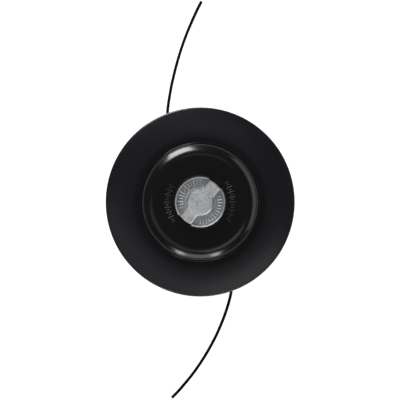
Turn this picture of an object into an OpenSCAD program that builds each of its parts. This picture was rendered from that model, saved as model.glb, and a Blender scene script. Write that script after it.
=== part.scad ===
// Tap-feed string trimmer head with a wide glide dish, a cast bump knob and two nylon lines.
// It rests on its drive-side seat face, with the ground side up. All sizes are in millimetres.

/* [Glide dish] */
// Diameter over the rim of the glide dish
dish_d = 150; // [140:1:165]
// Wall thickness of the dish
dish_wall = 2.5; // [2:0.1:2.8]
// How far inside the drum wall the crown starts to fall away
shoulder_inset = 10; // [9:0.5:11]
// Slope of the crown where the shoulder starts, in degrees
crown_tilt = 2; // [1:0.5:3]
// Radius of the shoulder round the crown
shoulder_r = 13; // [12.5:0.5:14]
// Slope of the shoulder where it rolls over into the flank, in degrees
roll_tilt = 43; // [41:1:45]
// Radius where the shoulder rolls over into the flank
roll_r = 5; // [4.5:0.1:5.5]
// Slope of the steep flank, in degrees
flank_tilt = 75; // [72:1:78]
// Width of the flank, seen from above
flank_w = 0.8; // [0.6:0.1:1]
// Radius of the hollow fillet between flank and brim
root_fillet = 1; // [0.8:0.1:1.5]
// Slope of the brim at its root, in degrees
brim_tilt_in = 1; // [0.5:0.5:3]
// Slope of the brim at its rim, in degrees
brim_tilt_out = 14; // [12:0.5:16]
// Depth of the skirt that registers the dish on the drum
skirt_h = 5; // [4:0.5:6]
// Thickness of the register skirt
skirt_wall = 2.4; // [2:0.1:2.6]
// Number of stiffening ribs under the brim
brim_ribs = 12; // [8:1:16]
// Thickness of each rib under the brim
brim_rib_t = 1.6; // [1.2:0.1:2.2]
// How far each rib under the brim stops short of the rim
brim_rib_end = 5; // [4:0.5:8]
// Length of the straight foot of each rib, beside the skirt
brim_rib_foot = 6; // [4:0.5:8]
// Height of the collar round the hole for the knob
collar_h = 2; // [1.5:0.1:2.2]

/* [Drum housing] */
// Outer diameter of the drum
drum_d = 92; // [90:0.5:96]
// Thickness of the drum wall
drum_wall = 2.6; // [2.2:0.1:3]
// Thickness of the drum floor
floor_t = 3; // [2.5:0.1:3.2]
// Width of the slope from the floor to the wall
drum_slope = 6; // [5:0.5:6.5]
// Height of the drive-side boss under the floor
boss_h = 7; // [6:0.5:9]
// Diameter of the drive-side boss
boss_d = 40; // [36:1:46]
// Number of cooling ribs on the drive side
floor_ribs = 12; // [8:1:16]
// Thickness of each cooling rib
floor_rib_t = 2; // [1.6:0.1:2.6]
// Number of grip ribs round the drum wall
grip_ribs = 24; // [18:2:30]
// How far a grip rib stands off the drum wall
grip_rib_h = 1; // [0.6:0.1:1.4]
// Width of each grip rib
grip_rib_w = 2; // [1.6:0.1:2.6]
// Wall of the post that guides the spool, round the arbor's sleeve
post_wall = 2.5; // [2.2:0.1:3]
// Gap between the drum and the dish's register, on the radius
register_gap = 0.3; // [0.2:0.05:0.5]

/* [Arbor] */
// Bore of the arbor thread, at the crests of the left-hand M10 thread
arbor_bore_d = 8.7; // [8:0.1:9.2]
// Depth of the arbor thread
arbor_depth = 18; // [16:0.5:20]
// Width across the flats of the hexagonal flange
arbor_hex_af = 22; // [20:0.5:24]
// Thickness of the hexagonal flange
arbor_hex_h = 5; // [4:0.5:5.5]
// Wall of the sleeve that reaches up into the post
arbor_sleeve_wall = 2.15; // [1.8:0.05:2.6]
// How far the sleeve runs on past the thread
arbor_sleeve_end = 2; // [1.5:0.1:2.5]

/* [Spool] */
// Gap between the outer flanges and the drum wall
spool_gap = 3.4; // [3:0.1:4.4]
// How far the flange between the two lines stands over the wound line
mid_flange_h = 2; // [1.5:0.1:2.4]
// Thickness of each flange
flange_t = 2; // [1.6:0.1:2.2]
// Height of the room for each line
chamber_h = 10; // [9.8:0.1:10.2]
// Wall of the core that the lines are wound on, round the spring's room
core_wall = 4.6; // [3:0.1:5.5]
// Running clearance of the spool on the post, on the radius
post_clearance = 0.08; // [0.05:0.01:0.1]
// How far the wound line stays inside the outer flanges
line_room = 10; // [9:0.5:12]
// Wall of the neck that carries the knob, round the corners of the nut
neck_wall = 4.5; // [3.5:0.1:5]
// Thickness of the neck over the nut
neck_cap = 2.4; // [2:0.1:2.6]
// Number of notches in the flanges that hold a line end while the spool is loaded
notch_count = 4; // [2:1:6]

/* [Tap feed] */
// How far the knob travels when it is tapped
tap_travel = 4.5; // [4.2:0.1:4.8]
// Angle that the spool turns in one tap, in degrees
feed_step = 30; // [28:0.5:30]
// Angle that each lug and each stop covers, in degrees
lug_span = 12; // [11:0.5:13]
// Height of the lugs
lug_h = 3.2; // [3:0.1:3.3]
// Depth by which a lug and its stop overlap
lug_catch = 2.6; // [2.3:0.1:2.8]
// How far the ring of lugs stays inside the flat of the crown
lug_inset = 1; // [0.8:0.1:1.5]
// How far the ring of lugs stays outside the collar of the dish
collar_room = 3.9; // [3:0.1:5]
// Free gap at the end of each movement
end_gap = 0.3; // [0.3:0.05:0.4]
// Angle left between a lug and the stop that catches it, in degrees
catch_gap = 1.5; // [1:0.25:2]

/* [Spring] */
// Diameter of the spring wire
wire_d = 1.6; // [1.2:0.1:1.7]
// Gap between the feed spring and the post
spring_gap = 1.9; // [1.6:0.1:2.2]
// Number of turns of the feed spring
spring_turns = 5; // [4:1:5]
// Length of the spring at rest
spring_len = 14; // [13.5:0.5:15]
// Thickness of the thrust washer
washer_t = 1.2; // [1:0.1:1.6]
// Width of the washer outside the spring
washer_margin = 1.5; // [1.2:0.1:1.8]
// Play of the washer round the post and inside the spool, on the radius
washer_play = 0.4; // [0.3:0.05:0.5]

/* [Bump knob] */
// Diameter of the knob
knob_d = 39.5; // [38:0.5:41]
// Height of the knob's top above the crown
knob_proud = 5.5; // [5:0.1:6.5]
// Gap between the knob and the hole in the dish, on the radius
knob_gap = 0.85; // [0.5:0.05:1.2]
// Width of the raised rim round the knob
knob_rim = 1.2; // [1:0.1:1.6]
// Radius round the top edge of the knob
knob_round = 0.8; // [0.5:0.1:1]
// Depth of the two finger pockets
pocket_h = 4.4; // [4.2:0.1:4.6]
// Diameter of the raised middle of the knob
knob_hub_d = 21; // [20:0.5:22]
// Width of the grip bar
bar_w = 10.8; // [9:0.1:12]
// Sideways offset of each end of the bar
bar_offset = 0.85; // [0:0.05:1.2]
// Direction of the grip bar, in degrees
bar_angle = 53; // [0:1:90]
// Thickness of the knob's side wall
knob_wall = 2.4; // [2:0.1:2.8]
// Diameter of the stud that holds the knob
stud_d = 8; // [7:0.5:8]
// Width across the flats of the captive nut
nut_af = 13; // [12.5:0.1:13.5]
// Height of the captive nut
nut_h = 6.5; // [6:0.1:6.8]
// How far the nut reaches down into the spool, from its front face
nut_sink = 4.5; // [4:0.1:5]

/* [Line and eyelets] */
// Diameter of the nylon line
line_d = 2.4; // [2:0.1:2.6]
// Direction of the first line as it leaves the drum, in degrees
eyelet_angle = 115; // [105:1:125]
// Bore of the eyelets
eyelet_bore_d = 3.6; // [3.4:0.1:4]
// Outer diameter of the eyelet barrels
eyelet_d = 7; // [6.5:0.1:7.5]
// Diameter of the flared eyelet mouth
eyelet_flange_d = 10; // [9.5:0.1:10.5]
// Distance from the drum wall to the eyelet's mouth
eyelet_proud = 4; // [3.5:0.1:4.5]
// How far the inner end of the eyelet stands inside the drum wall
eyelet_step = 0.4; // [0.2:0.1:0.6]
// Thickness of the flared mouth
eyelet_lip_t = 1.5; // [1.2:0.1:1.8]
// Width of drum round the flared mouth
eyelet_boss_wall = 1; // [0.8:0.1:1.4]
// Radius of the flare at both ends of the eyelet
eyelet_flare = 1; // [0.8:0.1:1.2]

/* [Dish screws] */
// Shank diameter of a dish screw
screw_d = 3.8; // [3.5:0.1:4]
// Head diameter of a dish screw
screw_head_d = 7.4; // [7:0.1:8]
// Head height of a dish screw
screw_head_h = 2.6; // [2.2:0.1:3]
// Length of thread in the bosses of the dish
screw_grip = 3.2; // [3:0.1:3.6]
// Clearance of the screws in the ears, on the radius
screw_play = 0.3; // [0.2:0.05:0.4]
// Thickness of the ears on the drum
ear_t = 3.6; // [3.2:0.1:4]
// Diameter of the ears and of the bosses on the dish
ear_d = 10; // [9:0.5:11]
// Gap between the ears and the register, on the radius
ear_gap = 0.5; // [0.3:0.1:0.8]

/* [Hidden] */
$fn = 96;

// Sense of the feed: the spool turns clockwise seen from the ground side
feed_dir = -1;
// Six lugs to a turn give the half step of the feed, and the dish is held by four screws
lug_count = 6;
screw_count = 4;
// Clearance between pieces that are pressed, screwed or cast together
fit_gap = 0.05;
// Small chamfer on moulded edges
edge = 0.6;
// How far a rib, boss, lug or stud is sunk into the wall that carries it
bite = 1;
// How far a cut runs on past the face that it opens
over = 1;

// Diameters that follow from the walls and gaps round the axis
arbor_sleeve_d = arbor_bore_d + 2 * arbor_sleeve_wall;
post_d = arbor_sleeve_d + 2 * post_wall;
spring_d = post_d + 2 * spring_gap + wire_d;
washer_d = spring_d + wire_d + 2 * washer_margin;
spring_room_d = washer_d + 2 * washer_play;
core_d = spring_room_d + 2 * core_wall;
spool_d = drum_d - 2 * (drum_wall + spool_gap);
wound_d = spool_d - 2 * line_room;
mid_flange_d = wound_d + 2 * mid_flange_h;
neck_d = nut_af / cos(30) + 2 * neck_wall;

// Heights, from the seat face up
floor_z = boss_h + floor_t;
spool_z = floor_z + end_gap + tap_travel + lug_h;
chamber_z = [spool_z + flange_t, spool_z + 2 * flange_t + chamber_h];
spool_top_z = spool_z + 3 * flange_t + 2 * chamber_h;
dish_under_z = spool_top_z + lug_h + end_gap;
washer_z = floor_z + spring_len;
nut_z = spool_top_z - nut_sink;
neck_top_z = nut_z + nut_h + neck_cap;
post_top_z = nut_z - end_gap - tap_travel;

// The profile of the dish: a point (radius, height) at a tilt on an arc
function on_arc(centre, radius, tilt) = centre + radius * [sin(tilt), cos(tilt)];
function arc(centre, radius, from, to, steps) =
    [for (i = [0:steps]) on_arc(centre, radius, from + (to - from) * i / steps)];
crown_r = drum_d / 2 - shoulder_inset;
crown_dome_r = crown_r / sin(crown_tilt);
crown_sag = crown_dome_r * (1 - cos(crown_tilt));
crown_top_z = dish_under_z + dish_wall + crown_sag;
knob_top_z = crown_top_z + knob_proud;
pocket_z = knob_top_z - pocket_h;
dome_c = [0, crown_top_z - crown_dome_r];
shoulder_c = on_arc(dome_c, crown_dome_r - shoulder_r, crown_tilt);
roll_c = on_arc(shoulder_c, shoulder_r - roll_r, roll_tilt);
fillet_c = on_arc(roll_c, roll_r + root_fillet, flank_tilt) + flank_w * [1, -tan(flank_tilt)];
root = on_arc(fillet_c, -root_fillet, brim_tilt_in);
nose_r = dish_wall / 2;
brim_w = dish_d / 2 - nose_r - root[0] + nose_r * sin(brim_tilt_out);
brim_r = brim_w / (sin(brim_tilt_out) - sin(brim_tilt_in));
brim_c = on_arc(root, -brim_r, brim_tilt_in);
nose_c = on_arc(brim_c, brim_r - nose_r, brim_tilt_out);
hole_r = knob_d / 2 + knob_gap;
register_r = drum_d / 2 + register_gap;
skirt_r = register_r + skirt_wall;
function brim_tilt_at(r) = asin((r - brim_c[0]) / (brim_r - dish_wall));
function brim_under_z(r) = on_arc(brim_c, brim_r - dish_wall, brim_tilt_at(r))[1];
drum_top_z = root[1] - dish_wall - edge;
skirt_z = drum_top_z - skirt_h;

// The screws, their ears on the drum and their bosses on the dish
ear_z = skirt_z - ear_t;
ear_r = register_r + ear_d / 2 + ear_gap;
screw_angle = eyelet_angle + 45;
screw_pilot_d = screw_d + 2 * fit_gap;
screw_tip_z = skirt_z + screw_grip;

// The eyelets and the lines
drum_in_r = drum_d / 2 - drum_wall;
mouth_r = drum_d / 2 + eyelet_proud;
// Each lead lies in the band of its chamber that stays open over the whole travel
lead_z = [for (z = chamber_z) z + (chamber_h - tap_travel) / 2];
eyelet_z = (lead_z[0] + lead_z[1]) / 2;
eyelet_in_r = drum_in_r - eyelet_step;
eyelet_boss_d = eyelet_flange_d + 2 * eyelet_boss_wall;
rib_phase = eyelet_angle + 180 / brim_ribs;

// The feed lugs and the stops that catch them, on the dish above and on the drum floor below
lug_in_r = hole_r + dish_wall + collar_room;
lug_out_r = crown_r - lug_inset;
stop_top_phase = feed_dir * (feed_step + lug_span / 2);
stop_floor_phase = feed_dir * (feed_step + lug_span + catch_gap);

// Routes of the two free lines, from the eyelet's mouth to the tip that rests on the surface.
// The first point of each is worked out, so that it stays on the eyelet.
route_1 = [
    [-23.5, 52, 28.6], [-25.2, 58.5, 28], [-26, 65.2, 27], [-26.1, 72, 25.6], [-25.4, 78.9, 23.8],
    [-24.4, 85.6, 21.7], [-23.3, 92.4, 19.4], [-21.9, 99.1, 17], [-20.4, 105.8, 14.4], [-18.7, 112.5, 11.9],
    [-16.9, 119.1, 9.5], [-14.9, 125.6, 7.3], [-12.7, 132.1, 5.3], [-10.3, 138.6, 3.6], [-7.7, 144.9, 2.4],
    [-5, 151.2, 1.6], [-2.1, 157.4, 1.3], [1, 163.5, 1.3]
];
route_2 = [
    [23.5, -52.3, 28.6], [25, -59, 28], [25.3, -66.1, 27], [24.5, -73.2, 25.6], [22.9, -80.1, 23.8],
    [20.9, -87, 21.7], [18.6, -93.7, 19.4], [16, -100.4, 17], [13.2, -107, 14.4], [10.1, -113.4, 11.9],
    [6.8, -119.7, 9.5], [3.2, -125.9, 7.3], [-0.6, -132, 5.3], [-4.6, -137.9, 3.6], [-8.9, -143.6, 2.4],
    [-13.4, -149.1, 1.6], [-18.1, -154.5, 1.3], [-23.1, -159.6, 1.3]
];

// A tube swept along points, with flat ends
function unit(v) = v / norm(v);
function heading(p, i) = unit(p[min(i + 1, len(p) - 1)] - p[max(i - 1, 0)]);
function ring(centre, way, radius, sides) =
    let (side = unit(cross(way, [0, 0, 1])), rise = cross(side, way))
    [for (k = [0:sides - 1]) centre + radius * (cos(360 * k / sides) * side + sin(360 * k / sides) * rise)];
module tube(path, diameter, sides = 8) {
    last = len(path) - 1;
    points = [for (i = [0:last]) each ring(path[i], heading(path, i), diameter / 2, sides)];
    start_cap = [for (k = [0:sides - 1]) k];
    end_cap = [for (k = [0:sides - 1]) last * sides + sides - 1 - k];
    walls = [
        for (i = [0:last - 1], k = [0:sides - 1])
            let (a = i * sides + k, b = i * sides + (k + 1) % sides)
            [a, a + sides, b + sides, b]
    ];
    polyhedron(points = points, faces = concat([start_cap], walls, [end_cap]), convexity = 6);
}

// A block that covers part of a ring, from one radius and one height to another
module ring_block(in_r, out_r, low_z, high_z, centre_angle) {
    rotate([0, 0, centre_angle - lug_span / 2])
        rotate_extrude(angle = lug_span) translate([in_r, low_z]) square([out_r - in_r, high_z - low_z]);
}

// A ring of lugs or stops, one for each step
module lug_ring(low_z, high_z, phase = 0) {
    for (i = [0:lug_count - 1]) ring_block(lug_in_r, lug_out_r, low_z, high_z, phase + 360 / lug_count * i);
}

// A hexagonal prism by its width across flats
module hexagon(across_flats, height) {
    cylinder(d = across_flats / cos(30), h = height, $fn = 6);
}

// Puts a piece that is modelled along +Z in the place of an eyelet, pointing outwards
module at_eyelet(i) {
    rotate([0, 0, eyelet_angle + 180 * i]) translate([0, 0, eyelet_z]) rotate([0, 90, 0]) children();
}

// Puts a piece that is modelled on the Z axis in the place of a dish screw
module at_screw(i) {
    rotate([0, 0, screw_angle + 360 / screw_count * i]) translate([ear_r, 0, 0]) children();
}

// A flat rib that stands on the Z axis, from its outline as (radius, height)
module rib(outline, thickness) {
    rotate([90, 0, 0]) linear_extrude(thickness, center = true) polygon(outline);
}

// The turned form of the drum: boss, floor, wall and guide post
module drum_shell() {
    wall_r = drum_d / 2;
    post_r = post_d / 2;
    rotate_extrude() polygon([
        [0, 0], [boss_d / 2 - edge, 0], [boss_d / 2, edge], [boss_d / 2, boss_h],
        [wall_r - drum_slope, boss_h], [wall_r, boss_h + drum_slope], [wall_r, drum_top_z - edge],
        [wall_r - edge, drum_top_z], [drum_in_r, drum_top_z], [drum_in_r, floor_z + drum_slope],
        [drum_in_r - drum_slope / 2, floor_z], [post_r, floor_z], [post_r, post_top_z - edge],
        [post_r - edge, post_top_z], [0, post_top_z]
    ]);
}

// One cooling rib on the drive side, from the boss to the slope
module cooling_rib() {
    foot = 2;
    lift = 1;
    slope_r = drum_d / 2 - drum_slope;
    rib([
        [boss_d / 2 - bite, lift], [boss_d / 2 + foot, lift], [slope_r, boss_h - foot],
        [slope_r + drum_slope / 2, boss_h + drum_slope / 2], [boss_d / 2 - bite, boss_h + bite]
    ], floor_rib_t);
}

// One upright grip rib on the drum wall, clear of the slope and of the ears
module grip_rib() {
    low_z = boss_h + drum_slope + 2;
    translate([drum_d / 2 - drum_wall / 2, -grip_rib_w / 2, low_z])
        cube([drum_wall / 2 + grip_rib_h, grip_rib_w, ear_z - 1 - low_z]);
}

// One ear on the drum wall, for a dish screw
module screw_ear(i) {
    at_screw(i) translate([0, 0, ear_z]) {
        cylinder(d = ear_d, h = ear_t);
        translate([-ear_d, -ear_d / 2, 0]) cube([ear_d, ear_d, ear_t]);
    }
}

// The moulded drum: floor, wall, guide post, cooling ribs, ears, eyelet bosses and feed stops
module drum_housing() {
    boss_in_r = drum_in_r + eyelet_step;
    color("#26262a") difference() {
        union() {
            drum_shell();
            for (i = [0:floor_ribs - 1]) rotate([0, 0, 360 / floor_ribs * (i + 0.5)]) cooling_rib();
            for (i = [0:grip_ribs - 1]) rotate([0, 0, 360 / grip_ribs * i]) grip_rib();
            lug_ring(floor_z - bite, floor_z + end_gap + lug_catch, stop_floor_phase);
            for (i = [0:1])
                at_eyelet(i) translate([0, 0, boss_in_r])
                    cylinder(d = eyelet_boss_d, h = mouth_r - eyelet_lip_t - boss_in_r);
            for (i = [0:screw_count - 1]) screw_ear(i);
        }
        translate([0, 0, -over]) hexagon(arbor_hex_af + 2 * fit_gap, arbor_hex_h + fit_gap + over);
        cylinder(d = arbor_sleeve_d + 2 * fit_gap, h = arbor_depth + arbor_sleeve_end + fit_gap);
        for (i = [0:1]) at_eyelet(i) cylinder(d = eyelet_d + 2 * fit_gap, h = mouth_r + over);
        for (i = [0:screw_count - 1])
            at_screw(i) translate([0, 0, ear_z - over])
                cylinder(d = screw_d + 2 * screw_play, h = ear_t + 2 * over);
    }
}

// The steel arbor: a hexagonal flange in the boss, with a threaded sleeve up into the post
module arbor_insert() {
    lead_in = 1;
    color("silver") difference() {
        union() {
            hexagon(arbor_hex_af, arbor_hex_h);
            cylinder(d = arbor_sleeve_d, h = arbor_depth + arbor_sleeve_end);
        }
        translate([0, 0, -over]) cylinder(d = arbor_bore_d, h = arbor_depth + over);
        cylinder(d1 = arbor_bore_d + 2 * lead_in, d2 = arbor_bore_d, h = lead_in);
    }
}

// The feed spring, with its end turns closed
module feed_spring() {
    steps = 20;
    closed = 0.6;
    low_z = floor_z + wire_d / 2;
    rise = spring_len - wire_d;
    path = [
        for (i = [0:steps * spring_turns])
            let (turn = i / steps, share = (turn - closed) / (spring_turns - 2 * closed))
            [
                spring_d / 2 * cos(360 * turn), spring_d / 2 * sin(360 * turn),
                low_z + rise * max(0, min(1, share))
            ]
    ];
    color("lightsteelblue") tube(path, wire_d);
}

// The washer that lets the spool turn on the spring
module thrust_washer() {
    color("gainsboro") translate([0, 0, washer_z]) difference() {
        cylinder(d = washer_d, h = washer_t);
        translate([0, 0, -over]) cylinder(d = post_d + 2 * washer_play, h = washer_t + 2 * over);
    }
}

// The turned form of the spool: three flanges on a core, with the neck on top
module spool_shell() {
    core_r = core_d / 2;
    chamber_top_z = [for (z = chamber_z) z + chamber_h];
    rotate_extrude() polygon([
        [0, spool_z], [spool_d / 2, spool_z], [spool_d / 2, chamber_z[0]], [core_r, chamber_z[0]],
        [core_r, chamber_top_z[0]], [mid_flange_d / 2, chamber_top_z[0]], [mid_flange_d / 2, chamber_z[1]],
        [core_r, chamber_z[1]], [core_r, chamber_top_z[1]], [spool_d / 2, chamber_top_z[1]],
        [spool_d / 2, spool_top_z], [neck_d / 2, spool_top_z], [neck_d / 2, neck_top_z], [0, neck_top_z]
    ]);
}

// The two-chamber spool, with feed lugs on both faces and a neck for the knob
module spool() {
    seat_z = washer_z + washer_t;
    notch_d = line_d + 0.8;
    color("#3a3b40") difference() {
        union() {
            spool_shell();
            lug_ring(spool_top_z - bite, spool_top_z + lug_h);
            lug_ring(spool_z - lug_h, spool_z + bite);
        }
        translate([0, 0, spool_z - over]) cylinder(d = spring_room_d, h = seat_z - spool_z + over);
        cylinder(d = post_d + 2 * post_clearance, h = nut_z);
        translate([0, 0, nut_z - over]) hexagon(nut_af + 2 * fit_gap, nut_h + over + fit_gap);
        cylinder(d = stud_d + 2 * fit_gap, h = neck_top_z + over);
        for (i = [0:notch_count - 1])
            rotate([0, 0, 360 / notch_count * (i + 0.5)]) translate([spool_d / 2, 0, spool_z - over])
                cylinder(d = notch_d, h = spool_top_z - spool_z + 2 * over);
    }
}

// The wound line of one chamber, with the turns of its outer layer
module line_winding(i) {
    turns = floor(chamber_h / line_d);
    slack = chamber_h - turns * line_d;
    outer_r = (wound_d - line_d) / 2;
    turn_gap = 0.02;
    color("#1b1b1e") rotate_extrude() translate([0, chamber_z[i] + slack / 2]) {
        translate([core_d / 2, 0]) square([outer_r + line_d / 4 - core_d / 2, turns * line_d]);
        for (k = [0:turns - 1]) translate([outer_r, (k + 0.5) * line_d]) circle(d = line_d - turn_gap);
    }
}
module line_winding_1() line_winding(0);
module line_winding_2() line_winding(1);

// The nut that the spool holds captive, pulled against the top of its pocket
module spool_nut() {
    color("silver") translate([0, 0, nut_z]) difference() {
        hexagon(nut_af, nut_h);
        translate([0, 0, -over]) cylinder(d = stud_d, h = nut_h + 2 * over);
    }
}

// The steel stud cast into the knob
module knob_stud() {
    low_z = nut_z + end_gap;
    color("silver") translate([0, 0, low_z]) cylinder(d = stud_d - 2 * fit_gap, h = pocket_z + bite - low_z);
}

// The raised area of the knob, seen from above: the middle and the two halves of the grip bar
module grip_area() {
    circle(d = knob_hub_d);
    for (side = [0, 180])
        rotate(bar_angle + side) translate([0, -bar_w / 2 - bar_offset]) square([knob_d, bar_w]);
}

// The cast knob: a cup with a rim, two finger pockets and a raised grip bar
module bump_knob() {
    r = knob_d / 2;
    skirt_z = spool_top_z + end_gap;
    color("#a3a4a6") difference() {
        rotate_extrude() polygon(concat(
            [[0, neck_top_z], [r - knob_wall, neck_top_z], [r - knob_wall, skirt_z], [r, skirt_z]],
            arc([r - knob_round, knob_top_z - knob_round], knob_round, 90, 0, 4),
            [[0, knob_top_z]]
        ));
        translate([0, 0, pocket_z]) linear_extrude(pocket_h + over) difference() {
            circle(d = knob_d - 2 * knob_rim);
            grip_area();
        }
        translate([0, 0, neck_top_z - over])
            cylinder(d = stud_d, h = pocket_z + bite + fit_gap - neck_top_z + over);
    }
}

// The turned form of the dish: crown, shoulder, flank, brim with a rounded rim, register skirt and collar
module dish_shell() {
    collar_z = crown_top_z - dish_wall - collar_h;
    under_fillet = root_fillet + dish_wall;
    rotate_extrude() polygon(concat(
        arc(dome_c, crown_dome_r, asin(hole_r / crown_dome_r), crown_tilt, 4),
        arc(shoulder_c, shoulder_r, crown_tilt, roll_tilt, 10),
        arc(roll_c, roll_r, roll_tilt, flank_tilt, 3),
        arc(fillet_c, -root_fillet, flank_tilt, brim_tilt_in, 5),
        arc(brim_c, brim_r, brim_tilt_in, brim_tilt_out, 8),
        arc(nose_c, nose_r, brim_tilt_out, brim_tilt_out + 180, 8),
        arc(brim_c, brim_r - dish_wall, brim_tilt_out, brim_tilt_at(skirt_r), 8),
        [[skirt_r, skirt_z], [register_r, skirt_z]],
        arc(fillet_c, -under_fillet, asin((fillet_c[0] - register_r) / under_fillet), flank_tilt, 4),
        arc(roll_c, roll_r - dish_wall, flank_tilt, roll_tilt, 3),
        arc(shoulder_c, shoulder_r - dish_wall, roll_tilt, crown_tilt, 8),
        arc(dome_c, crown_dome_r - dish_wall, crown_tilt, asin((hole_r + dish_wall) / crown_dome_r), 3),
        [[hole_r + dish_wall, collar_z], [hole_r, collar_z]]
    ));
}

// One stiffening rib under the brim, with its edge along the brim's underside
module brim_rib() {
    steps = 6;
    end_r = dish_d / 2 - brim_rib_end;
    foot_z = skirt_z + 1;
    rib(concat(
        [[skirt_r - bite, foot_z], [skirt_r + brim_rib_foot, foot_z]],
        [for (k = [0:steps]) let (r = end_r + (skirt_r - end_r) * k / steps) [r, brim_under_z(r) + bite]]
    ), brim_rib_t);
}

// The glide dish: the turned form with its ribs, screw bosses and feed stops
module glide_dish() {
    boss_top_z = brim_under_z(ear_r + ear_d / 2) + bite;
    pilot_spare = 1.2;
    color("#1c1c20") difference() {
        union() {
            dish_shell();
            lug_ring(spool_top_z + lug_h - lug_catch, dish_under_z + crown_sag + bite, stop_top_phase);
            for (i = [0:screw_count - 1])
                at_screw(i) translate([0, 0, skirt_z]) cylinder(d = ear_d, h = boss_top_z - skirt_z);
            for (i = [0:brim_ribs - 1]) rotate([0, 0, rib_phase + 360 / brim_ribs * i]) brim_rib();
        }
        for (i = [0:screw_count - 1])
            at_screw(i) translate([0, 0, skirt_z - over])
                cylinder(d = screw_pilot_d, h = screw_grip + pilot_spare + over);
        // Notches where the skirt passes over the eyelet bosses
        for (i = [0:1]) at_eyelet(i) cylinder(d = eyelet_boss_d + 2 * register_gap, h = mouth_r + over);
    }
}

// A pan-head screw with a cross recess, driven from the drive side
module dish_screw(i) {
    recess = [4, 1, 1.2];
    head_r = screw_head_d / 2;
    color("silver") at_screw(i) translate([0, 0, ear_z]) difference() {
        union() {
            cylinder(d = screw_d, h = screw_tip_z - ear_z);
            rotate_extrude() polygon([
                [0, 0], [head_r, 0], [head_r, -screw_head_h / 2],
                [head_r - 1, -screw_head_h], [0, -screw_head_h]
            ]);
        }
        for (turn = [0, 90])
            rotate([0, 0, turn]) translate([-recess[0] / 2, -recess[1] / 2, -screw_head_h - over])
                cube(recess + [0, 0, over]);
    }
}
module dish_screw_1() dish_screw(0);
module dish_screw_2() dish_screw(1);
module dish_screw_3() dish_screw(2);
module dish_screw_4() dish_screw(3);

// The steel eyelet that the line runs out through, flared at both ends
module eyelet(i) {
    barrel_r = eyelet_d / 2;
    lip_z = mouth_r - eyelet_lip_t;
    flare_r = eyelet_bore_d / 2 + eyelet_flare;
    color("silver") at_eyelet(i) rotate_extrude() polygon(concat(
        arc([flare_r, eyelet_in_r + eyelet_flare], -eyelet_flare, 0, 90, 3),
        arc([flare_r, mouth_r - eyelet_flare], eyelet_flare, -90, 0, 3),
        [
            [eyelet_flange_d / 2, mouth_r], [eyelet_flange_d / 2, lip_z],
            [barrel_r, lip_z], [barrel_r, eyelet_in_r]
        ]
    ));
}
module eyelet_1() eyelet(0);
module eyelet_2() eyelet(1);

// The stretch of line from the winding to the eyelet's mouth, a smooth bend and then straight
module line_lead(i) {
    steps = 9;
    way = eyelet_angle + 180 * i;
    out = [cos(way), sin(way), 0];
    start_r = (wound_d + line_d) / 2 + end_gap;
    bend_r = drum_in_r - 2;
    // Angle from the eyelet back to where the line leaves the winding
    wrap = way + 0.86 * acos(start_r / bend_r);
    start = [start_r * cos(wrap), start_r * sin(wrap), lead_z[i]];
    bend = bend_r * out + [0, 0, eyelet_z];
    start_pull = start + 15 * [sin(wrap), -cos(wrap), 0];
    bend_pull = bend - 6 * out;
    curve = [
        for (k = [0:steps])
            let (u = k / steps, v = 1 - u)
            v * v * v * start + 3 * v * v * u * start_pull + 3 * v * u * u * bend_pull + u * u * u * bend
    ];
    color("#1b1b1e") tube(concat(curve, [mouth_r * out + [0, 0, eyelet_z]]), line_d);
}
module line_lead_1() line_lead(0);
module line_lead_2() line_lead(1);

// A free line, from the eyelet's mouth to its cut end
module free_line(i, route) {
    way = eyelet_angle + 180 * i;
    out = [cos(way), sin(way), 0];
    mouth = mouth_r * out + [0, 0, eyelet_z];
    color("#1b1b1e") tube(concat([mouth, mouth + 2 * out], route), line_d);
}
module free_line_1() free_line(0, route_1);
module free_line_2() free_line(1, route_2);

drum_housing();
arbor_insert();
feed_spring();
thrust_washer();
spool();
line_winding_1();
line_winding_2();
spool_nut();
knob_stud();
bump_knob();
glide_dish();
dish_screw_1();
dish_screw_2();
dish_screw_3();
dish_screw_4();
eyelet_1();
eyelet_2();
line_lead_1();
line_lead_2();
free_line_1();
free_line_2();
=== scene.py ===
# A tap-feed trimmer head, ground side up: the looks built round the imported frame
import math

import bmesh
import bpy
from mathutils import Matrix, Vector


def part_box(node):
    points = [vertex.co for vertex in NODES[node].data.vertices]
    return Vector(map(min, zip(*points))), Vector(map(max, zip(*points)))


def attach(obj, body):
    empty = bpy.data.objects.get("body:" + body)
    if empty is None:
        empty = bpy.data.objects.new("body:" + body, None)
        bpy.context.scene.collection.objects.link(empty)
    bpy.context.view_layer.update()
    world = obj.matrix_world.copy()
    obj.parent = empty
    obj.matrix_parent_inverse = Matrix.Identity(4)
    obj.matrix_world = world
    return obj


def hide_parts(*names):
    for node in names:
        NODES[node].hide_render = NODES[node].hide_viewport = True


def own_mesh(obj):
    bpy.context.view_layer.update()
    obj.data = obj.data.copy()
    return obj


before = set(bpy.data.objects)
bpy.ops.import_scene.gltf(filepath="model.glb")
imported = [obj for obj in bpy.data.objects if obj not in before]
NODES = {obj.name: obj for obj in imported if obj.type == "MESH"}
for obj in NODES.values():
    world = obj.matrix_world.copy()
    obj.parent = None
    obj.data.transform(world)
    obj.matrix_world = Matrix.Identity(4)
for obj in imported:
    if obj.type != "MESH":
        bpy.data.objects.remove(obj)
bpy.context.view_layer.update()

MM = 0.001

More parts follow.
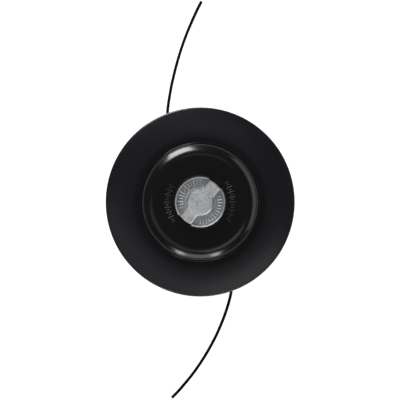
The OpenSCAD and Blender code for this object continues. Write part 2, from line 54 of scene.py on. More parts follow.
# Sizes of the dish, in millimetres, the same as in the part
DRUM_R = 46.0
DISH_WALL = 2.5
SHOULDER_INSET = 10.0
CROWN_TILT = 2.0
SHOULDER_R = 13.0
ROLL_TILT = 43.0
ROLL_R = 5.0
EDGE_R = 1.0
ROOT_R = 0.3
FLANK_TILT = 75.0
FLANK_W = 0.8
ROOT_FILLET = 1.0
BRIM_TILT_IN = 1.0
BRIM_TILT_OUT = 14.0
REGISTER_GAP = 0.3
SKIRT_WALL = 2.4
SKIRT_H = 5.0
EDGE = 0.6
COLLAR_H = 2.0
KNOB_GAP = 0.85
KNOB_RIM = 1.2
KNOB_WALL = 2.4
KNOB_HUB_R = 10.5
POCKET_H = 4.4
BAR_W = 10.8
BAR_OFFSET = 0.85
BAR_ANGLE = 53.0
EYELET_ANGLE = 115.0
EYELET_BOSS_R = 6.0
EAR_R = 5.0
LUG_SPAN = 12.0
LUG_CATCH = 2.6
LUG_H = 3.2
END_GAP = 0.3
LUG_INSET = 1.0
COLLAR_ROOM = 3.9
LINE_D = 2.4
NUT_SINK = 4.5
NUT_H = 6.5
NECK_CAP = 2.4


def corner_mm(node, which):
    """A corner of a CAD node's box, in millimetres: 0 is the low one, 1 the high one."""
    return Vector(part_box(node)[which]) / MM


dish_low, dish_high = corner_mm("glide_dish", 0), corner_mm("glide_dish", 1)
knob_low, knob_high = corner_mm("bump_knob", 0), corner_mm("bump_knob", 1)
DISH_R = round((dish_high.x - dish_low.x) / 2, 1)
KNOB_R = round((knob_high.x - knob_low.x) / 2, 2)
KNOB_TOP = knob_high.z
KNOB_LOW = knob_low.z
SPOOL_TOP = KNOB_LOW - END_GAP
EYELET_Z = (corner_mm("eyelet_1", 0).z + corner_mm("eyelet_1", 1).z) / 2
MOUTH_R = corner_mm("eyelet_1", 1).y / math.sin(math.radians(EYELET_ANGLE))

# Camera: straight over the head, at the photograph's distance
CAMERA_H = 1.237
FRAME_PX = 400
MM_PER_PX = 0.791
RIM_Z = 0.038
CENTRE_PX = (200.2, 202.0)


# Routes of the two free lines, in metres, as in the part
ROUTE_1 = [
    (-0.0235, 0.052, 0.0286), (-0.0252, 0.0585, 0.028), (-0.026, 0.0652, 0.027), (-0.0261, 0.072, 0.0256),
    (-0.0254, 0.0789, 0.0238), (-0.0244, 0.0856, 0.0217), (-0.0233, 0.0924, 0.0194), (-0.0219, 0.0991, 0.017),
    (-0.0204, 0.1058, 0.0144), (-0.0187, 0.1125, 0.0119), (-0.0169, 0.1191, 0.0095), (-0.0149, 0.1256, 0.0073),
    (-0.0127, 0.1321, 0.0053), (-0.0103, 0.1386, 0.0036), (-0.0077, 0.1449, 0.0024), (-0.005, 0.1512, 0.0016),
    (-0.0021, 0.1574, 0.0013), (0.001, 0.1635, 0.0013),
]
ROUTE_2 = [
    (0.0235, -0.0523, 0.0286), (0.025, -0.059, 0.028), (0.0253, -0.0661, 0.027), (0.0245, -0.0732, 0.0256),
    (0.0229, -0.0801, 0.0238), (0.0209, -0.087, 0.0217), (0.0186, -0.0937, 0.0194), (0.016, -0.1004, 0.017),
    (0.0132, -0.107, 0.0144), (0.0101, -0.1134, 0.0119), (0.0068, -0.1197, 0.0095), (0.0032, -0.1259, 0.0073),
    (-0.0006, -0.132, 0.0053), (-0.0046, -0.1379, 0.0036), (-0.0089, -0.1436, 0.0024), (-0.0134, -0.1491, 0.0016),
    (-0.0181, -0.1545, 0.0013), (-0.0231, -0.1596, 0.0013),
]


def make_camera():
    """Looks straight down, framed as the photograph."""
    data = bpy.data.cameras.new("camera")
    data.sensor_width = 36.0
    data.lens = data.sensor_width * (CAMERA_H - RIM_Z) / (FRAME_PX * MM_PER_PX * MM)
    camera = bpy.data.objects.new("camera", data)
    bpy.context.collection.objects.link(camera)
    camera.location = (
        (FRAME_PX / 2 - CENTRE_PX[0]) * MM_PER_PX * MM,
        (CENTRE_PX[1] - FRAME_PX / 2) * MM_PER_PX * MM,
        CAMERA_H,
    )
    bpy.context.scene.camera = camera


# Modelling helpers


def start(name):
    """Names the primitive that was just added, and its mesh."""
    piece = bpy.context.object
    piece.name = name
    piece.data.name = name
    return piece


def clear_selection():
    bpy.ops.object.select_all(action="DESELECT")


def only(piece):
    """Selects one piece and makes it active."""
    clear_selection()
    piece.select_set(True)
    bpy.context.view_layer.objects.active = piece


def outline(name, points, fill=False):
    """A closed outline through points (x, y, z) in metres, from a circle of as many corners."""
    clear_selection()
    bpy.ops.mesh.primitive_circle_add(vertices=len(points), radius=MM, fill_type="NGON" if fill else "NOTHING")
    piece = start(name)
    for vertex, point in zip(piece.data.vertices, points):
        vertex.co = point
    return piece


def spin(piece, steps, angle=360.0):
    """Turns an outline counterclockwise about the Z axis, closes its seam and points its faces outwards."""
    only(piece)
    bpy.ops.object.mode_set(mode="EDIT")
    bpy.ops.mesh.select_all(action="SELECT")
    bpy.ops.mesh.spin(steps=steps, angle=-math.radians(angle), center=(0, 0, 0), axis=(0, 0, 1))
    bpy.ops.mesh.select_all(action="SELECT")
    bpy.ops.mesh.remove_doubles(threshold=0.002 * MM)
    bpy.ops.mesh.normals_make_consistent(inside=False)
    bpy.ops.object.mode_set(mode="OBJECT")
    return piece


def pull_up(piece, height):
    """Extrudes a filled outline straight up, in metres."""
    only(piece)
    bpy.ops.object.mode_set(mode="EDIT")
    bpy.ops.mesh.select_all(action="SELECT")
    bpy.ops.mesh.extrude_region_move(TRANSFORM_OT_translate={"value": (0, 0, height)})
    bpy.ops.mesh.select_all(action="SELECT")
    bpy.ops.mesh.normals_make_consistent(inside=False)
    bpy.ops.object.mode_set(mode="OBJECT")
    return piece


def bevel_edges(piece, chosen, width, segments):
    """Rounds the edges for which chosen(a, b) is true, where a and b are their ends."""
    only(piece)
    mesh = piece.data
    bpy.ops.object.mode_set(mode="EDIT")
    bpy.ops.mesh.select_all(action="DESELECT")
    bpy.ops.object.mode_set(mode="OBJECT")
    for edge in mesh.edges:
        a, b = (mesh.vertices[i].co for i in edge.vertices)
        edge.select = chosen(a, b)
    bpy.ops.object.mode_set(mode="EDIT")
    bpy.ops.mesh.select_mode(type="EDGE")
    bpy.ops.mesh.bevel(offset=width, segments=segments, profile=0.5, affect="EDGES")
    bpy.ops.object.mode_set(mode="OBJECT")


def smooth(piece, angle=32.0):
    only(piece)
    bpy.ops.object.shade_smooth_by_angle(angle=math.radians(angle))
    return piece


def move_mesh(piece, matrix):
    piece.data.transform(matrix)
    piece.data.update()
    return piece


def turned(degrees):
    return Matrix.Rotation(math.radians(degrees), 4, "Z")


def join(name, parts):
    clear_selection()
    for part in parts:
        part.select_set(True)
    bpy.context.view_layer.objects.active = parts[0]
    bpy.ops.object.join()
    return start(name)


def copies(piece, matrices):
    """The piece moved by the first matrix, and a copy with its own mesh for each other one."""
    made = []
    for matrix in matrices[1:]:
        only(piece)
        bpy.ops.object.duplicate()
        made.append(move_mesh(bpy.context.object, matrix))
    return [move_mesh(piece, matrices[0])] + made


def cut(piece, tool):
    """Takes the tool's volume away from the piece."""
    only(piece)
    modifier = piece.modifiers.new("cut", "BOOLEAN")
    modifier.operation = "DIFFERENCE"
    modifier.solver = "EXACT"
    modifier.object = tool
    bpy.ops.object.modifier_apply(modifier=modifier.name)
    bpy.data.objects.remove(tool)


# The dish's profile, as (radius, height) in millimetres


def on_arc(centre, radius, tilt):
    t = math.radians(tilt)
    return (centre[0] + radius * math.sin(t), centre[1] + radius * math.cos(t))


def arc(centre, radius, first, last, steps):
    return [on_arc(centre, radius, first + (last - first) * i / steps) for i in range(steps + 1)]


def tight_arc(centre, radius, first, last, tight_radius):
    """The corner of that arc drawn with a smaller radius, so that it mirrors next to nothing."""
    reach = (radius - tight_radius) / math.cos(math.radians((last - first) / 2))
    return arc(on_arc(centre, reach, (first + last) / 2), tight_radius, first, last, 6)


def sine(degrees):
    return math.sin(math.radians(degrees))


crown_r = DRUM_R - SHOULDER_INSET
dome_r = crown_r / sine(CROWN_TILT)
hole_r = KNOB_R + KNOB_GAP
hole_tilt = math.degrees(math.asin(hole_r / dome_r))
crown_top = SPOOL_TOP + LUG_H + END_GAP + DISH_WALL + dome_r * (1 - math.cos(math.radians(CROWN_TILT)))
dome_c = (0.0, crown_top - dome_r)
shoulder_c = on_arc(dome_c, dome_r - SHOULDER_R, CROWN_TILT)
roll_c = on_arc(shoulder_c, SHOULDER_R - ROLL_R, ROLL_TILT)
fillet_c = on_arc(roll_c, ROLL_R + ROOT_FILLET, FLANK_TILT)
fillet_c = (fillet_c[0] + FLANK_W, fillet_c[1] - FLANK_W * math.tan(math.radians(FLANK_TILT)))
root = on_arc(fillet_c, -ROOT_FILLET, BRIM_TILT_IN)
nose_r = DISH_WALL / 2
brim_r = (DISH_R - nose_r - root[0] + nose_r * sine(BRIM_TILT_OUT)) / (sine(BRIM_TILT_OUT) - sine(BRIM_TILT_IN))
brim_c = on_arc(root, -brim_r, BRIM_TILT_IN)
nose_c = on_arc(brim_c, brim_r - nose_r, BRIM_TILT_OUT)
register_r = DRUM_R + REGISTER_GAP
skirt_r = register_r + SKIRT_WALL
drum_top = root[1] - DISH_WALL - EDGE
skirt_z = drum_top - SKIRT_H
ear_r = register_r + EAR_R + 0.5


def brim_tilt_at(radius):
    return math.degrees(math.asin((radius - brim_c[0]) / (brim_r - DISH_WALL)))


def brim_under(radius):
    return on_arc(brim_c, brim_r - DISH_WALL, brim_tilt_at(radius))[1]


def crown_z(radius):
    """Height of the crown's top at a radius, in millimetres."""
    return dome_c[1] + math.sqrt(dome_r ** 2 - radius ** 2)


def dish_profile():
    collar_z = crown_top - DISH_WALL - COLLAR_H
    under_fillet = ROOT_FILLET + DISH_WALL
    under_tilt = math.degrees(math.asin((fillet_c[0] - register_r) / under_fillet))
    hole_lip = 0.35
    lip_c = (hole_r + hole_lip, crown_z(hole_r) - hole_lip)
    top = (
        arc(lip_c, hole_lip, -90, 0, 4)
        + arc(dome_c, dome_r, hole_tilt * 1.12, CROWN_TILT, 10)
        + arc(shoulder_c, SHOULDER_R, CROWN_TILT, ROLL_TILT, 30)[1:]
        + tight_arc(roll_c, ROLL_R, ROLL_TILT, FLANK_TILT, EDGE_R)
        + tight_arc(fillet_c, -ROOT_FILLET, FLANK_TILT, BRIM_TILT_IN, -ROOT_R)
        + arc(brim_c, brim_r, BRIM_TILT_IN, BRIM_TILT_OUT, 26)[1:]
        + arc(nose_c, nose_r, BRIM_TILT_OUT, BRIM_TILT_OUT + 180, 14)[1:]
    )
    under = (
        arc(brim_c, brim_r - DISH_WALL, BRIM_TILT_OUT, brim_tilt_at(skirt_r + 0.6), 14)[1:]
        + [(skirt_r, brim_under(skirt_r) - 0.6), (skirt_r, skirt_z + 0.3), (skirt_r - 0.3, skirt_z)]
        + [(register_r + 0.3, skirt_z), (register_r, skirt_z + 0.3)]
        + arc(fillet_c, -under_fillet, under_tilt, FLANK_TILT, 6)
        + arc(roll_c, ROLL_R - DISH_WALL, FLANK_TILT, ROLL_TILT, 4)
        + arc(shoulder_c, SHOULDER_R - DISH_WALL, ROLL_TILT, CROWN_TILT, 14)
        + arc(dome_c, dome_r - DISH_WALL, CROWN_TILT, hole_tilt * 1.12, 4)[1:]
        + [(hole_r + DISH_WALL, collar_z), (hole_r, collar_z)]
    )
    return [(r * MM, 0.0, z * MM) for r, z in top + under]


def radial_block(name, in_r, out_r, low, high, centre_angle, span, steps=6):
    """A block that covers part of a ring, in millimetres and degrees."""
    corners = [(in_r, 0, low), (out_r, 0, low), (out_r, 0, high), (in_r, 0, high)]
    piece = outline(name, [Vector(c) * MM for c in corners], fill=True)
    spin(piece, steps, span)
    return move_mesh(piece, turned(centre_angle - span / 2))


def dish_rib(name):
    """One stiffening rib under the brim, along +X."""
    thickness = 1.6
    radii = [DISH_R - 5 - k * (DISH_R - 5 - skirt_r) / 6 for k in range(7)]
    points = [(skirt_r - 1, 0, skirt_z + 1), (skirt_r + 6, 0, skirt_z + 1)]
    points += [(r, 0, brim_under(r) + 0.8) for r in radii]
    piece = outline(name, [Vector(p) * MM for p in points], fill=True)
    only(piece)
    modifier = piece.modifiers.new("thickness", "SOLIDIFY")
    modifier.thickness = thickness * MM
    modifier.offset = 0
    bpy.ops.object.modifier_apply(modifier=modifier.name)
    return piece


def dish_boss(name):
    """One screw boss under the brim, at the origin."""
    bore = 1.95
    top = brim_under(ear_r + EAR_R) + 0.8
    ring = [(bore, skirt_z), (EAR_R, skirt_z), (EAR_R, top), (bore, top)]
    return spin(outline(name, [Vector((r, 0, z)) * MM for r, z in ring]), 48)


def mark(name, in_r, out_r, width, low, high):
    """One raised stroke with a rounded top, lying along +X, in millimetres."""
    clear_selection()
    size = Vector((out_r - in_r, width, high - low)) * MM
    place = Vector(((in_r + out_r) / 2, 0, (low + high) / 2)) * MM
    bpy.ops.mesh.primitive_cube_add(size=1, location=place, scale=size)
    bpy.ops.object.transform_apply(location=True, rotation=False, scale=True)
    piece = start(name)
    middle = place.z
    bevel_edges(piece, lambda a, b: a.z > middle or b.z > middle, width * 0.35 * MM, 3)
    return piece


def dish_marks():
    """Two groups of plain raised strokes beside the knob, long and short in turn."""
    strokes = []
    pattern = "lslslsslslslslss"
    for first, last in ((150.0, 216.0), (-32.0, 36.0)):
        for k, kind in enumerate(pattern):
            in_r, out_r = (23.0, 28.2) if kind == "l" else (24.4, 26.9)
            angle = first + (last - first) * k / (len(pattern) - 1)
            height = crown_z((in_r + out_r) / 2)
            stroke = mark("stroke", in_r, out_r, 0.9, height - 0.4, height + 0.5)
            strokes.append(move_mesh(stroke, turned(angle)))
    return strokes


def make_dish(black, painted_glint):
    """The glide dish, one moulding: a spun shell with ribs, bosses, feed stops and marks."""
    shell = smooth(spin(outline("glide_dish_shell", dish_profile()), 288))
    for k in range(2):
        clear_selection()
        bpy.ops.mesh.primitive_cylinder_add(
            vertices=64, radius=(EYELET_BOSS_R + REGISTER_GAP) * MM, depth=12 * MM,
            location=(48 * MM, 0, EYELET_Z * MM), rotation=(0, math.radians(90), 0),
        )
        bpy.ops.object.transform_apply(location=True, rotation=True, scale=True)
        cut(shell, move_mesh(start("notch"), turned(EYELET_ANGLE + 180 * k)))
    screw_angle = EYELET_ANGLE + 45
    ribs = copies(dish_rib("rib"), [turned(EYELET_ANGLE + 15 + 30 * k) for k in range(12)])
    seats = [turned(screw_angle + 90 * k) @ Matrix.Translation((ear_r * MM, 0, 0)) for k in range(4)]
    bosses = copies(smooth(dish_boss("boss")), seats)
    in_r, out_r = hole_r + DISH_WALL + COLLAR_ROOM, crown_r - LUG_INSET
    low, high = SPOOL_TOP + LUG_H - LUG_CATCH, SPOOL_TOP + LUG_H + END_GAP + 1.2
    stops = [
        radial_block("stop", in_r, out_r, low, high, -36.0 + 60 * k, LUG_SPAN) for k in range(6)
    ]
    for piece in [shell] + ribs + bosses + stops:
        dress(piece, black)
    marks = [smooth(stroke) for stroke in dish_marks()]
    # The strokes are painted a lighter grey: a painted highlight in place of the glints on their edges.
    for stroke in marks:
        dress(stroke, painted_glint)
    return join("glide_dish_moulding", [shell] + ribs + bosses + stops + marks)


# The knob, in millimetres round its own axis

RIM_IN_R = KNOB_R - KNOB_RIM
POCKET_Z = KNOB_TOP - POCKET_H
POCKET_FALL = 0.9
BAR_END_R = KNOB_R - 0.85
BAR_NOTCH = 2.6
BAR_EDGES = (-BAR_W / 2 - BAR_OFFSET, BAR_W / 2 - BAR_OFFSET)
GRIP_FILLET = 2.2
CHAMFER_W = 1.0
CHAMFER_FALL = 0.3


def pocket_floor(radius):
    """Height of the pockets' floor, which falls from the hub to the rim."""
    return POCKET_Z - POCKET_FALL * max(0.0, radius - KNOB_HUB_R) / (RIM_IN_R - KNOB_HUB_R)


def angle_at(edge_y, radius):
    """Direction, in degrees, in which a bar edge crosses that radius."""
    return math.degrees(math.asin(edge_y / radius))


def knob_cup():
    """The body of the knob, up to the floor of its pockets, set back behind the ends of the bar."""
    low_rim = pocket_floor(KNOB_R)
    cap_z = SPOOL_TOP - NUT_SINK + NUT_H + NECK_CAP
    ring = [
        (0, POCKET_Z), (KNOB_HUB_R, POCKET_Z), (RIM_IN_R, pocket_floor(RIM_IN_R)), (KNOB_R, low_rim),
        (KNOB_R, KNOB_LOW + 0.3), (KNOB_R - 0.3, KNOB_LOW), (KNOB_R - KNOB_WALL, KNOB_LOW),
        (KNOB_R - KNOB_WALL, cap_z), (0, cap_z),
    ]
    cup = spin(outline("knob_cup", [Vector((r, 0, z)) * MM for r, z in ring]), 160)
    first, last = (angle_at(y, BAR_END_R) for y in BAR_EDGES)
    middle, span = (first + last) / 2, last - first + 2 * BAR_NOTCH
    for side in (0, 180):
        cut(cup, radial_block(
            "end_recess", BAR_END_R - 0.05, KNOB_R + 2, KNOB_LOW - 1, KNOB_TOP,
            BAR_ANGLE + side + middle, span, 40,
        ))
    return cup


def knob_rim(side):
    """The raised rim round one pocket, which stops just short of the bar on both sides."""
    first = angle_at(BAR_EDGES[1], KNOB_R) + BAR_NOTCH
    last = 180 + angle_at(BAR_EDGES[0], KNOB_R) - BAR_NOTCH
    floor = pocket_floor(KNOB_R) - 0.3
    ring = [
        (RIM_IN_R, floor), (KNOB_R, floor), (KNOB_R, KNOB_TOP - 0.2), (KNOB_R - 0.8, KNOB_TOP),
        (RIM_IN_R, KNOB_TOP),
    ]
    piece = outline("knob_rim", [Vector((r, 0, z)) * MM for r, z in ring], fill=True)
    spin(piece, 72, last - first)
    return move_mesh(piece, turned(BAR_ANGLE + side + first))


def fillet_centre(edge_y):
    """Centre of the hollow corner between the hub and a bar edge."""
    y = edge_y + math.copysign(GRIP_FILLET, edge_y)
    return math.sqrt((KNOB_HUB_R + GRIP_FILLET) ** 2 - y * y), y


def fillet_points(edge_y):
    """Points along that hollow corner, from the hub to the bar's edge."""
    x, y = fillet_centre(edge_y)
    first = math.atan2(-y, -x)
    last = math.copysign(math.pi / 2, -y)
    sweep = (last - first + math.pi) % (2 * math.pi) - math.pi
    angles = [first + sweep * k / 6 for k in range(7)]
    return [(x + GRIP_FILLET * math.cos(a), y + GRIP_FILLET * math.sin(a)) for a in angles]


def hub_points():
    """Points round the hub, from the far corner of one bar half to the near corner of the other."""
    first = math.atan2(*reversed(fillet_centre(BAR_EDGES[1])))
    last = math.pi + math.atan2(*reversed(fillet_centre(BAR_EDGES[0])))
    steps = 14
    angles = [first + (last - first) * k / steps for k in range(1, steps)]
    return [(KNOB_HUB_R * math.cos(a), KNOB_HUB_R * math.sin(a)) for a in angles]


def grip_outline():
    """The hub with the two halves of the bar, seen from above."""
    ends = [angle_at(y, BAR_END_R) for y in BAR_EDGES]
    tip = [math.radians(ends[0] + (ends[1] - ends[0]) * k / 12) for k in range(13)]
    half = (
        fillet_points(BAR_EDGES[0])
        + [(BAR_END_R * math.cos(a), BAR_END_R * math.sin(a)) for a in tip]
        + fillet_points(BAR_EDGES[1])[::-1]
        + hub_points()
    )
    return half + [(-x, -y) for x, y in half]


def knob_grip():
    """The raised hub and grip bar, with a broad gentle chamfer round the top."""
    low = pocket_floor(KNOB_R) - 0.3
    points = [Vector((x, y, low)) * MM for x, y in grip_outline()]
    piece = pull_up(outline("knob_grip", points, fill=True), (KNOB_TOP - CHAMFER_FALL - low) * MM)
    only(piece)
    bpy.ops.object.mode_set(mode="EDIT")
    bpy.ops.mesh.select_mode(type="FACE")
    bpy.ops.mesh.select_all(action="DESELECT")
    bpy.ops.object.mode_set(mode="OBJECT")
    for face in piece.data.polygons:
        face.select = face.normal.z > 0.9
    bpy.ops.object.mode_set(mode="EDIT")
    bpy.ops.mesh.inset(thickness=CHAMFER_W * MM, depth=CHAMFER_FALL * MM)
    bpy.ops.object.mode_set(mode="OBJECT")
    return move_mesh(piece, turned(BAR_ANGLE))


def pocket_marks(side):
    """A low ring by the hub and a fan of plain raised strokes in one pocket."""
    middle = BAR_ANGLE + 90 + side
    ring_r = KNOB_HUB_R + 1.1
    pieces = [radial_block("ring", ring_r, ring_r + 0.6, POCKET_Z - 0.8, POCKET_Z + 0.5, middle, 96, 36)]
    for k in range(13):
        in_r, out_r = (13.0, 17.6) if k % 3 else (13.8, 16.8)
        low, high = pocket_floor(out_r) - 0.3, pocket_floor(in_r) + 1.6
        stroke = mark("stroke", in_r, out_r, 1.0, low, high)
        pieces.append(move_mesh(stroke, turned(middle + (k - 6) * 8.8)))
    return pieces


def dress_casting(piece, cast, worn):
    """The cast skin, with the gentle chamfers round the top worn smooth on the ground."""
    dress(piece, cast)
    piece.data.materials.append(worn)
    for face in piece.data.polygons:
        chamfer = 0.94 < face.normal.z < 0.98 and face.center.z > (KNOB_TOP - 0.5) * MM
        face.material_index = 1 if chamfer else 0


def make_knob(cast, worn):
    """The bump knob, one casting: a cup with a rim, a grip bar across it and marks in its pockets."""
    pieces = [knob_cup(), knob_grip()]
    for side in (0, 180):
        pieces += [knob_rim(side)] + pocket_marks(side)
    for piece in pieces:
        dress_casting(smooth(piece, 12), cast, worn)
    return join("bump_knob_casting", pieces)


def make_spring():
    """The feed spring: a merged copy of the CAD coil."""
    clear_selection()
    piece = NODES["feed_spring"].copy()
    piece.data = piece.data.copy()
    bpy.context.collection.objects.link(piece)
    only(piece)
    piece.name = "feed_spring_coil"
    bpy.ops.object.mode_set(mode="EDIT")
    bpy.ops.mesh.select_all(action="SELECT")
    bpy.ops.mesh.remove_doubles(threshold=0.002 * MM)
    bpy.ops.mesh.normals_make_consistent(inside=False)
    bpy.ops.object.mode_set(mode="OBJECT")
    return smooth(piece, 60)


def make_line(name, mouth_angle, route):
    """A free nylon line: one smooth curve from the eyelet's mouth through its route."""
    out = Vector((math.cos(math.radians(mouth_angle)), math.sin(math.radians(mouth_angle)), 0))
    mouth = out * MOUTH_R * MM + Vector((0, 0, EYELET_Z * MM))
    points = [mouth, mouth + 2 * MM * out] + [Vector(p) for p in route]
    curve = bpy.data.curves.new(name, "CURVE")
    curve.dimensions = "3D"
    curve.bevel_depth = LINE_D / 2 * MM
    curve.bevel_resolution = 6
    curve.use_fill_caps = True
    curve.resolution_u = 8
    spline = curve.splines.new("BEZIER")
    spline.bezier_points.add(len(points) - 1)
    for knot, point in zip(spline.bezier_points, points):
        knot.co = point
        knot.handle_left_type = "AUTO"
        knot.handle_right_type = "AUTO"
    piece = bpy.data.objects.new(name, curve)
    bpy.context.collection.objects.link(piece)
    length = sum((b - a).length for a, b in zip(points, points[1:]))
    return piece, tuple(mouth), length


# Materials


def linear(hex_colour):
    """An sRGB hex colour as linear RGBA."""
    values = [int(hex_colour[i:i + 2], 16) / 255 for i in (1, 3, 5)]
    return [v / 12.92 if v <= 0.04045 else ((v + 0.055) / 1.055) ** 2.4 for v in values] + [1.0]


def new_material(name):
    material = bpy.data.materials.new(name)
    material.use_nodes = True
    tree = material.node_tree
    shader = next(n for n in tree.nodes if n.type == "BSDF_PRINCIPLED")
    return material, tree, shader


def add(tree, kind, links=(), **settings):
    """Adds a node. Settings name its properties or sockets, links are (socket, other node, its output)."""
    node = tree.nodes.new(kind)
    for key, value in settings.items():
        name = key.replace("_", " ").title()
        if name in node.inputs:
            node.inputs[name].default_value = value
        else:
            setattr(node, key, value)
    for socket, other, output in links:
        tree.links.new(other.outputs[output], node.inputs[socket])
    return node


def per_metre(size_mm):
    """A noise scale whose grains are about that many millimetres across."""
    return 1.0 / (size_mm * MM)


def radius_ramp(tree, place, near_mm, far_mm, near_value, far_value):
    """A value that goes from near_value to far_value between two radii round the Z axis."""
    flat = add(tree, "ShaderNodeVectorMath", [("Vector", place, "Object")], operation="MULTIPLY")
    flat.inputs[1].default_value = (1, 1, 0)
    radius = add(tree, "ShaderNodeVectorMath", [(0, flat, "Vector")], operation="LENGTH")
    ramp = add(tree, "ShaderNodeMapRange", [("Value", radius, "Value")], interpolation_type="SMOOTHSTEP")
    ramp.inputs["From Min"].default_value = near_mm * MM
    ramp.inputs["From Max"].default_value = far_mm * MM
    ramp.inputs["To Min"].default_value = near_value
    ramp.inputs["To Max"].default_value = far_value
    return ramp


def nylon_moulded(name, colour, lighter, rough, rough_spread, ripple, matt_from=None, mirror=0.5):
    """Moulded black nylon: a glossy skin with faint flow ripples and slightly uneven gloss.

    Outside the radius matt_from, in millimetres, the tool's fine texture makes it greyer and less glossy.
    """
    material, tree, shader = new_material(name)
    place = add(tree, "ShaderNodeTexCoord")
    flow = add(tree, "ShaderNodeTexNoise", [("Vector", place, "Object")], scale=per_metre(38), detail=3.0)
    fine = add(tree, "ShaderNodeTexNoise", [("Vector", place, "Object")], scale=per_metre(1.4), detail=2.0)
    shade = add(tree, "ShaderNodeMix", [("Factor", flow, "Fac")], data_type="RGBA")
    shade.inputs["A"].default_value = linear(colour)
    shade.inputs["B"].default_value = linear(lighter)
    gloss = add(tree, "ShaderNodeMapRange", [("Value", fine, "Fac")])
    gloss.inputs["To Min"].default_value = rough - rough_spread
    gloss.inputs["To Max"].default_value = rough + rough_spread
    bump = add(tree, "ShaderNodeBump", [("Height", fine, "Fac")], strength=ripple, distance=0.02 * MM)
    tint, finish = (shade, "Result"), (gloss, "Result")
    if matt_from:
        greyer = radius_ramp(tree, place, matt_from, matt_from + 6, 0.0, 1.0)
        grey = add(tree, "ShaderNodeMix", [("Factor", greyer, "Result"), ("A", shade, "Result")], data_type="RGBA")
        grey.inputs["B"].default_value = linear("#0f0f16")
        rougher = radius_ramp(tree, place, matt_from, matt_from + 6, 0.0, 0.09)
        sum_rough = add(tree, "ShaderNodeMath", [(0, gloss, "Result"), (1, rougher, "Result")], operation="ADD")
        tint, finish = (grey, "Result"), (sum_rough, "Value")
    tree.links.new(tint[0].outputs[tint[1]], shader.inputs["Base Color"])
    tree.links.new(finish[0].outputs[finish[1]], shader.inputs["Roughness"])
    tree.links.new(bump.outputs["Normal"], shader.inputs["Normal"])
    shader.inputs["IOR"].default_value = 1.53
    shader.inputs["Specular IOR Level"].default_value = mirror
    return material


def aluminium_cast(name, rough, pitting):
    """Die-cast aluminium, tumbled: a pitted skin with light and dark grains, and painted shade that makes it darker
    down in the pockets.
    """
    material, tree, shader = new_material(name)
    place = add(tree, "ShaderNodeTexCoord")
    grain = add(tree, "ShaderNodeTexNoise", [("Vector", place, "Object")], scale=per_metre(1.3), detail=4.0)
    cloud = add(tree, "ShaderNodeTexNoise", [("Vector", place, "Object")], scale=per_metre(6), detail=2.0)
    mixed = add(tree, "ShaderNodeMix", [("A", grain, "Fac"), ("B", cloud, "Fac")], data_type="FLOAT")
    mixed.inputs["Factor"].default_value = 0.35
    ramp = add(tree, "ShaderNodeValToRGB", [("Fac", mixed, "Result")])
    ramp.color_ramp.elements[0].position = 0.4
    ramp.color_ramp.elements[0].color = linear("#d0d2d4")
    ramp.color_ramp.elements[1].position = 0.6
    ramp.color_ramp.elements[1].color = linear("#fafbfd")
    bump = add(tree, "ShaderNodeBump", [("Height", grain, "Fac")], strength=pitting, distance=0.1 * MM)
    # Painted shade: below the pockets' top the colour turns to a darker grey, so the pocket floors and the feet of
    # their strokes look shaded.
    axes = add(tree, "ShaderNodeSeparateXYZ", [("Vector", place, "Object")])
    depth = add(tree, "ShaderNodeMapRange", [("Value", axes, "Z")])
    depth.inputs["From Min"].default_value = (POCKET_Z - 0.6) * MM
    depth.inputs["From Max"].default_value = (POCKET_Z + 0.7) * MM
    skin = add(tree, "ShaderNodeMix", [("Factor", depth, "Result"), ("B", ramp, "Color")], data_type="RGBA")
    skin.inputs["A"].default_value = linear("#bfc0c1")
    tree.links.new(skin.outputs["Result"], shader.inputs["Base Color"])
    tree.links.new(bump.outputs["Normal"], shader.inputs["Normal"])
    shader.inputs["Metallic"].default_value = 1.0
    shader.inputs["Roughness"].default_value = rough
    return material


def steel(name, colour, rough, grain_mm):
    """Plated or turned steel with fine tool marks."""
    material, tree, shader = new_material(name)
    place = add(tree, "ShaderNodeTexCoord")
    grain = add(tree, "ShaderNodeTexNoise", [("Vector", place, "Object")], scale=per_metre(grain_mm), detail=3.0)
    gloss = add(tree, "ShaderNodeMapRange", [("Value", grain, "Fac")])
    gloss.inputs["To Min"].default_value = rough - 0.08
    gloss.inputs["To Max"].default_value = rough + 0.08
    bump = add(tree, "ShaderNodeBump", [("Height", grain, "Fac")], strength=0.2, distance=0.02 * MM)
    tree.links.new(gloss.outputs["Result"], shader.inputs["Roughness"])
    tree.links.new(bump.outputs["Normal"], shader.inputs["Normal"])
    shader.inputs["Base Color"].default_value = linear(colour)
    shader.inputs["Metallic"].default_value = 1.0
    return material


def dress(piece, material):
    piece.data.materials.clear()
    piece.data.materials.append(material)


def floor_material():
    """White sweep paper: a plain pale sheet that also shows white where it is seen or mirrored."""
    material, tree, shader = new_material("sweep_paper_white")
    tree.nodes.remove(shader)
    out = next(n for n in tree.nodes if n.type == "OUTPUT_MATERIAL")
    paper = add(tree, "ShaderNodeBsdfDiffuse", color=linear("#c8c8c8"))
    rays = add(tree, "ShaderNodeLightPath")
    seen = add(tree, "ShaderNodeMath", [(0, rays, "Is Camera Ray"), (1, rays, "Is Glossy Ray")], operation="MAXIMUM")
    shown = add(tree, "ShaderNodeMath", [(0, seen, "Value"), (1, rays, "Is Transmission Ray")], operation="MAXIMUM")
    level = add(tree, "ShaderNodeMath", [(0, shown, "Value")], operation="MULTIPLY")
    level.inputs[1].default_value = 0.85
    glow = add(tree, "ShaderNodeEmission", [("Strength", level, "Value")])
    both = add(tree, "ShaderNodeAddShader", [(0, paper, "BSDF"), (1, glow, "Emission")])
    tree.links.new(both.outputs["Shader"], out.inputs["Surface"])
    return material


def make_floor():
    clear_selection()
    bpy.ops.mesh.primitive_plane_add(size=8.0, location=(0, 0, 0))
    floor = start("sweep")
    dress(floor, floor_material())


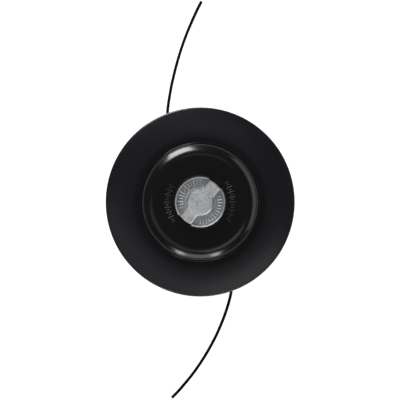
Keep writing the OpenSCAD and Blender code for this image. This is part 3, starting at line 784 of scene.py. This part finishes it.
def softbox(name, azimuth, elevation, width_deg, height_deg, radiance):
    """A rectangular lamp that covers those angles as seen from the head."""
    distance = 1.3
    data = bpy.data.lights.new(name, "AREA")
    data.shape = "RECTANGLE"
    data.size = 2 * distance * math.tan(math.radians(width_deg / 2))
    data.size_y = 2 * distance * math.tan(math.radians(height_deg / 2))
    data.energy = radiance * math.pi * data.size * data.size_y
    lamp = bpy.data.objects.new(name, data)
    bpy.context.collection.objects.link(lamp)
    a, e = math.radians(azimuth), math.radians(elevation)
    away = Vector((math.cos(a) * math.cos(e), math.sin(a) * math.cos(e), math.sin(e)))
    lamp.location = away * distance
    lamp.rotation_mode = "QUATERNION"
    lamp.rotation_quaternion = away.to_track_quat("Z", "Y")
    lamp.visible_camera = False


def make_lights():
    """Soft boxes round the head give the arcs on the shoulder, dim ones above give the brim its sheen."""
    softbox("box_key", 112.3, 23.3, 24.5, 33, 13.2)
    softbox("box_low", 267.5, 22, 44, 26, 1.9)
    softbox("box_low_left", 248, 21, 8, 26, 6.5)
    softbox("box_low_right", 286.5, 21, 8, 26, 6.0)
    softbox("box_side", 11, 24, 78, 26, 1.1)
    softbox("box_high_right", -60, 59, 30, 18, 0.85)
    softbox("box_high_left", 225, 61, 44, 22, 0.36)
    softbox("box_high_top", 84, 70, 22, 14, 0.25)
    world = bpy.data.worlds.new("studio")
    bpy.context.scene.world = world
    world.use_nodes = True
    back = next(n for n in world.node_tree.nodes if n.type == "BACKGROUND")
    back.inputs["Color"].default_value = linear("#ffffff")
    back.inputs["Strength"].default_value = 0.1


# The scene

make_camera()
line_black = nylon_moulded("nylon_extruded_black", "#08080a", "#0d0d10", 0.6, 0.05, 0.1, mirror=0.03)
for name, node, angle, route in (
    ("cut_line_1", "free_line_1", EYELET_ANGLE, ROUTE_1),
    ("cut_line_2", "free_line_2", EYELET_ANGLE + 180, ROUTE_2),
):
    line, mouth, length = make_line(name, angle, route)
    dress(line, line_black)
    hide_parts(node)
    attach(line, "drum")

dish_black = nylon_moulded("nylon_moulded_gloss_black", "#09090c", "#0d0d11", 0.185, 0.03, 0.12, 49)
# Lighter grey for the dish's raised strokes: a painted highlight standing in for their glints.
dish_painted_glint = nylon_moulded("nylon_moulded_painted_glint", "#1a1a1e", "#26262b", 0.38, 0.06, 0.3, mirror=0.4)
dish = make_dish(dish_black, dish_painted_glint)
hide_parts("glide_dish")
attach(dish, "drum")

knob = make_knob(
    aluminium_cast("aluminium_die_cast_tumbled", 0.52, 0.6),
    aluminium_cast("aluminium_die_cast_worn", 0.26, 0.1),
)
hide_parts("bump_knob")
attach(knob, "spool")

spring = make_spring()
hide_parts("feed_spring")
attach(spring, "drum")
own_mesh(spring)

drum_black = nylon_moulded("nylon_moulded_satin_black", "#18181b", "#1f1f22", 0.36, 0.05, 0.3)
spool_grey = nylon_moulded("nylon_moulded_satin_grey", "#33353a", "#3b3d43", 0.4, 0.05, 0.3)
zinc = steel("steel_turned_zinc_plated", "#c3c6ca", 0.34, 0.5)
wire = steel("steel_drawn_wire", "#a5a8ad", 0.28, 0.3)
eyelet_bright = steel("steel_turned_polished", "#b8babd", 0.22, 0.4)
dress(spring, wire)
for names, material in (
    (("drum_housing",), drum_black),
    (("spool",), spool_grey),
    (("line_winding_1", "line_winding_2", "line_lead_1", "line_lead_2"), line_black),
    (("arbor_insert", "thrust_washer", "spool_nut", "knob_stud"), zinc),
    (("dish_screw_1", "dish_screw_2", "dish_screw_3", "dish_screw_4"), zinc),
    (("eyelet_1", "eyelet_2"), eyelet_bright),
):
    for node_name in names:
        dress(NODES[node_name], material)

make_floor()
make_lights()
bpy.context.scene.view_settings.view_transform = "Standard"
